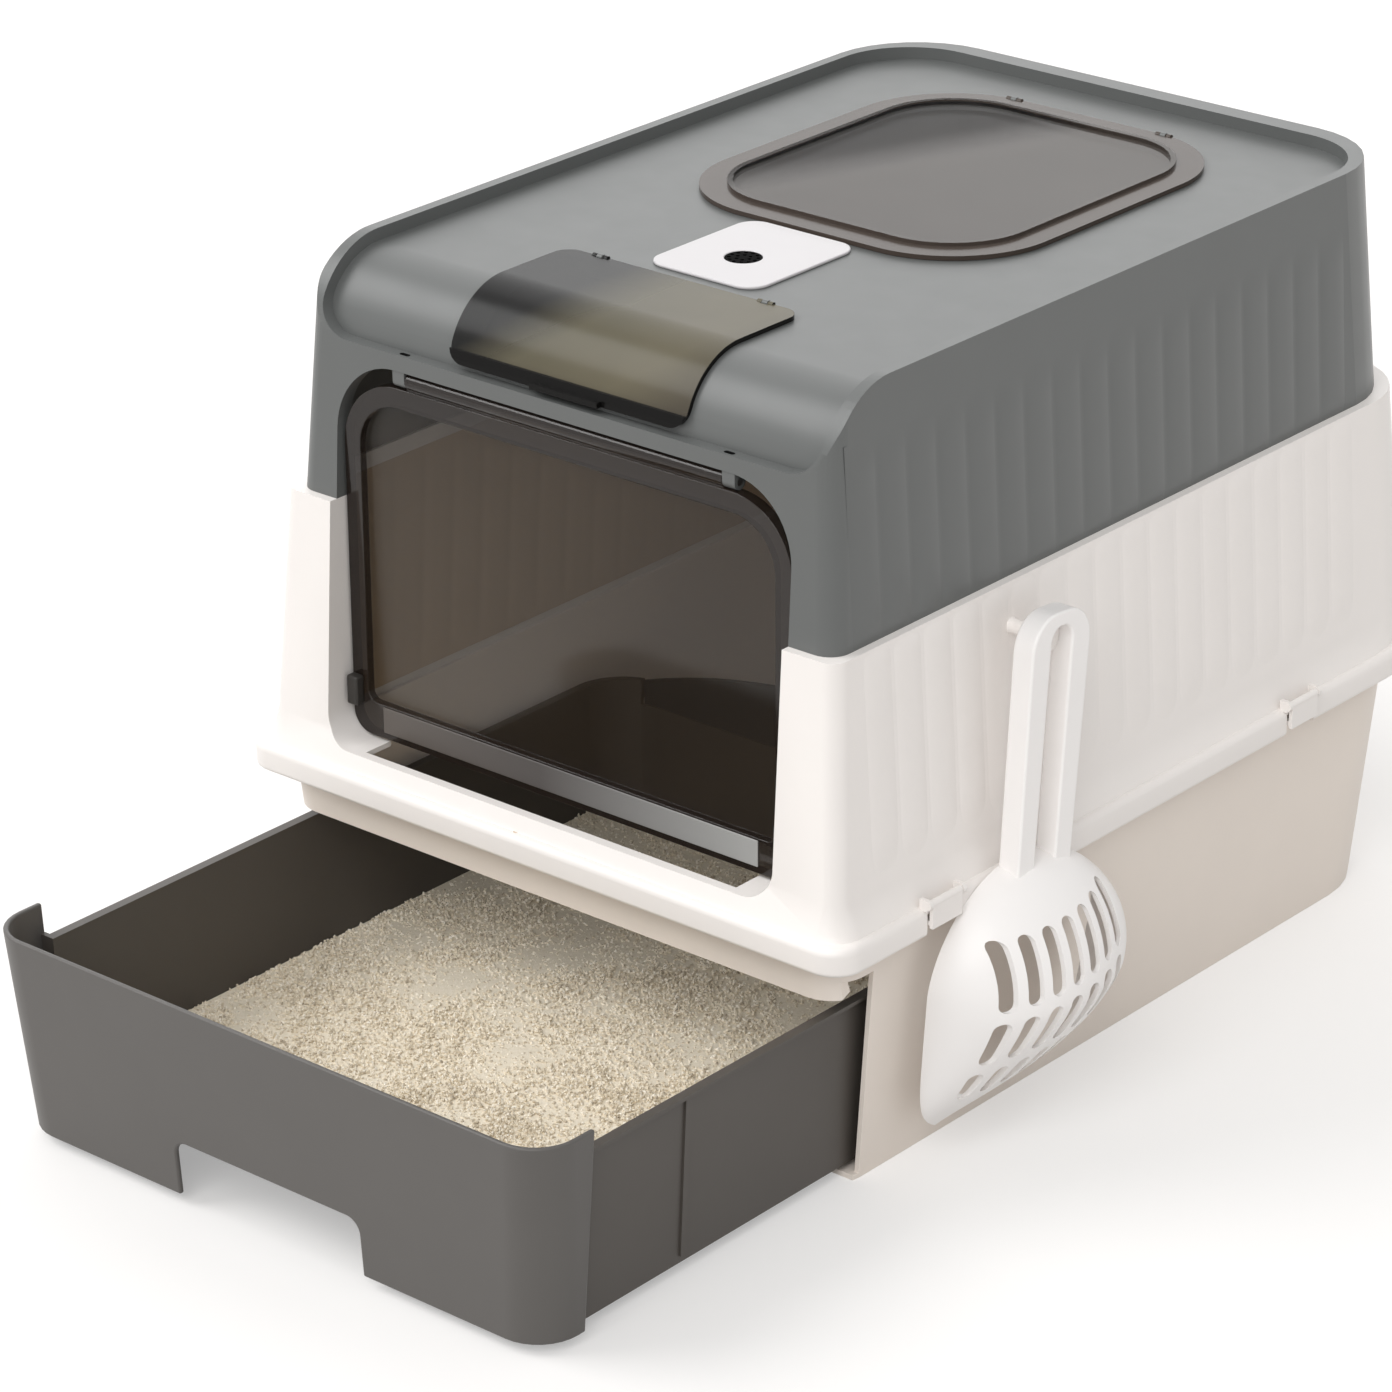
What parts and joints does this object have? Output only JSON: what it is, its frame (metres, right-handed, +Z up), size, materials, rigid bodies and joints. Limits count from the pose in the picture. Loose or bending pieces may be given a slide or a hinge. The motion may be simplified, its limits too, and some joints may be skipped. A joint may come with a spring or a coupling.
{
  "type": "drawer litter box",
  "caption": "Covered litter box: ribbed frame with a swinging see-through door, hood with skylight lid, flap and filter, pull-out litter drawer, side clips and a hanging scoop.",
  "frame": {"origin": "middle of the box's footprint, on the floor it stands on (the drawer slides out towards -Y)", "axes": "+X to the right seen from the front, +Y from the front to the back, +Z up"},
  "size_m": [0.4714, 0.7573, 0.424],
  "materials": {
    "grey_plastic": "satin",
    "white_plastic": "satin",
    "beige_plastic": "satin",
    "drawer_plastic": "satin",
    "tray_plastic": "satin",
    "guard_plastic": "satin",
    "smoke_plastic": "gloss",
    "skylight_plastic": "gloss",
    "amber_plastic": "gloss",
    "pale_strip": "satin",
    "catch_plastic": "satin",
    "grille_plastic": "matte",
    "steel_pin": "satin",
    "filter_felt": "matte",
    "rubber_pad": "matte",
    "glide_plastic": "satin",
    "litter": "matte"
  },
  "bodies": {
    "tub": {"base_tub": "beige_plastic", "grip_pads": "rubber_pad", "mid_frame": "white_plastic", "clip_pins": "steel_pin", "scoop_hook": "white_plastic", "hood": "grey_plastic", "filter_cover": "white_plastic", "vent_grille": "grille_plastic", "filter_basket": "grey_plastic", "filter_pad": "filter_felt", "skylight_pins": "steel_pin", "flap_pin": "steel_pin"},
    "drawer": {"drawer_tray": "tray_plastic", "drawer_front": "drawer_plastic", "drawer_guard": "guard_plastic", "drawer_glides": "glide_plastic", "litter_fill": "litter"},
    "door": {"front_door": "smoke_plastic", "door_strip": "pale_strip", "door_catches": "catch_plastic", "door_axle": "steel_pin"},
    "skylight": {"skylight_lid": "skylight_plastic"},
    "flap": {"top_flap": "amber_plastic"},
    "clip_right_front": {"clip_right_front": "white_plastic"},
    "clip_right_rear": {"clip_right_rear": "white_plastic"},
    "clip_left_front": {"clip_left_front": "white_plastic"},
    "clip_left_rear": {"clip_left_rear": "white_plastic"},
    "scoop": {"scoop": "white_plastic"}
  },
  "joints": [
    {"name": "drawer_slide", "type": "slide", "parent": "tub", "child": "drawer", "axis": [0, 1, 0], "range_m": [0, 0.209]},
    {"name": "door_hinge", "type": "hinge", "parent": "tub", "child": "door", "pos_m": [0, -0.243, 0.366], "axis": [1, 0, 0], "range_deg": [-85, 85]},
    {"name": "skylight_hinge", "type": "hinge", "parent": "tub", "child": "skylight", "pos_m": [0, 0.1923, 0.4191], "axis": [-1, 0, 0], "range_deg": [0, 105]},
    {"name": "flap_hinge", "type": "hinge", "parent": "tub", "child": "flap", "pos_m": [0, -0.152, 0.4191], "axis": [-1, 0, 0], "range_deg": [0, 100]},
    {"name": "clip_right_front_hinge", "type": "hinge", "parent": "tub", "child": "clip_right_front", "pos_m": [0.206, -0.195, 0.1525], "axis": [0, -1, 0], "range_deg": [0, 60]},
    {"name": "clip_right_rear_hinge", "type": "hinge", "parent": "tub", "child": "clip_right_rear", "pos_m": [0.206, 0.118, 0.1525], "axis": [0, -1, 0], "range_deg": [0, 60]},
    {"name": "clip_left_front_hinge", "type": "hinge", "parent": "tub", "child": "clip_left_front", "pos_m": [-0.206, -0.195, 0.1525], "axis": [0, 1, 0], "range_deg": [0, 60]},
    {"name": "clip_left_rear_hinge", "type": "hinge", "parent": "tub", "child": "clip_left_rear", "pos_m": [-0.206, 0.118, 0.1525], "axis": [0, 1, 0], "range_deg": [0, 60]},
    {"name": "scoop_swing", "type": "hinge", "parent": "tub", "child": "scoop", "pos_m": [0.206, -0.1191, 0.269], "axis": [1, 0, 0], "range_deg": [0, 10]}
  ]
}
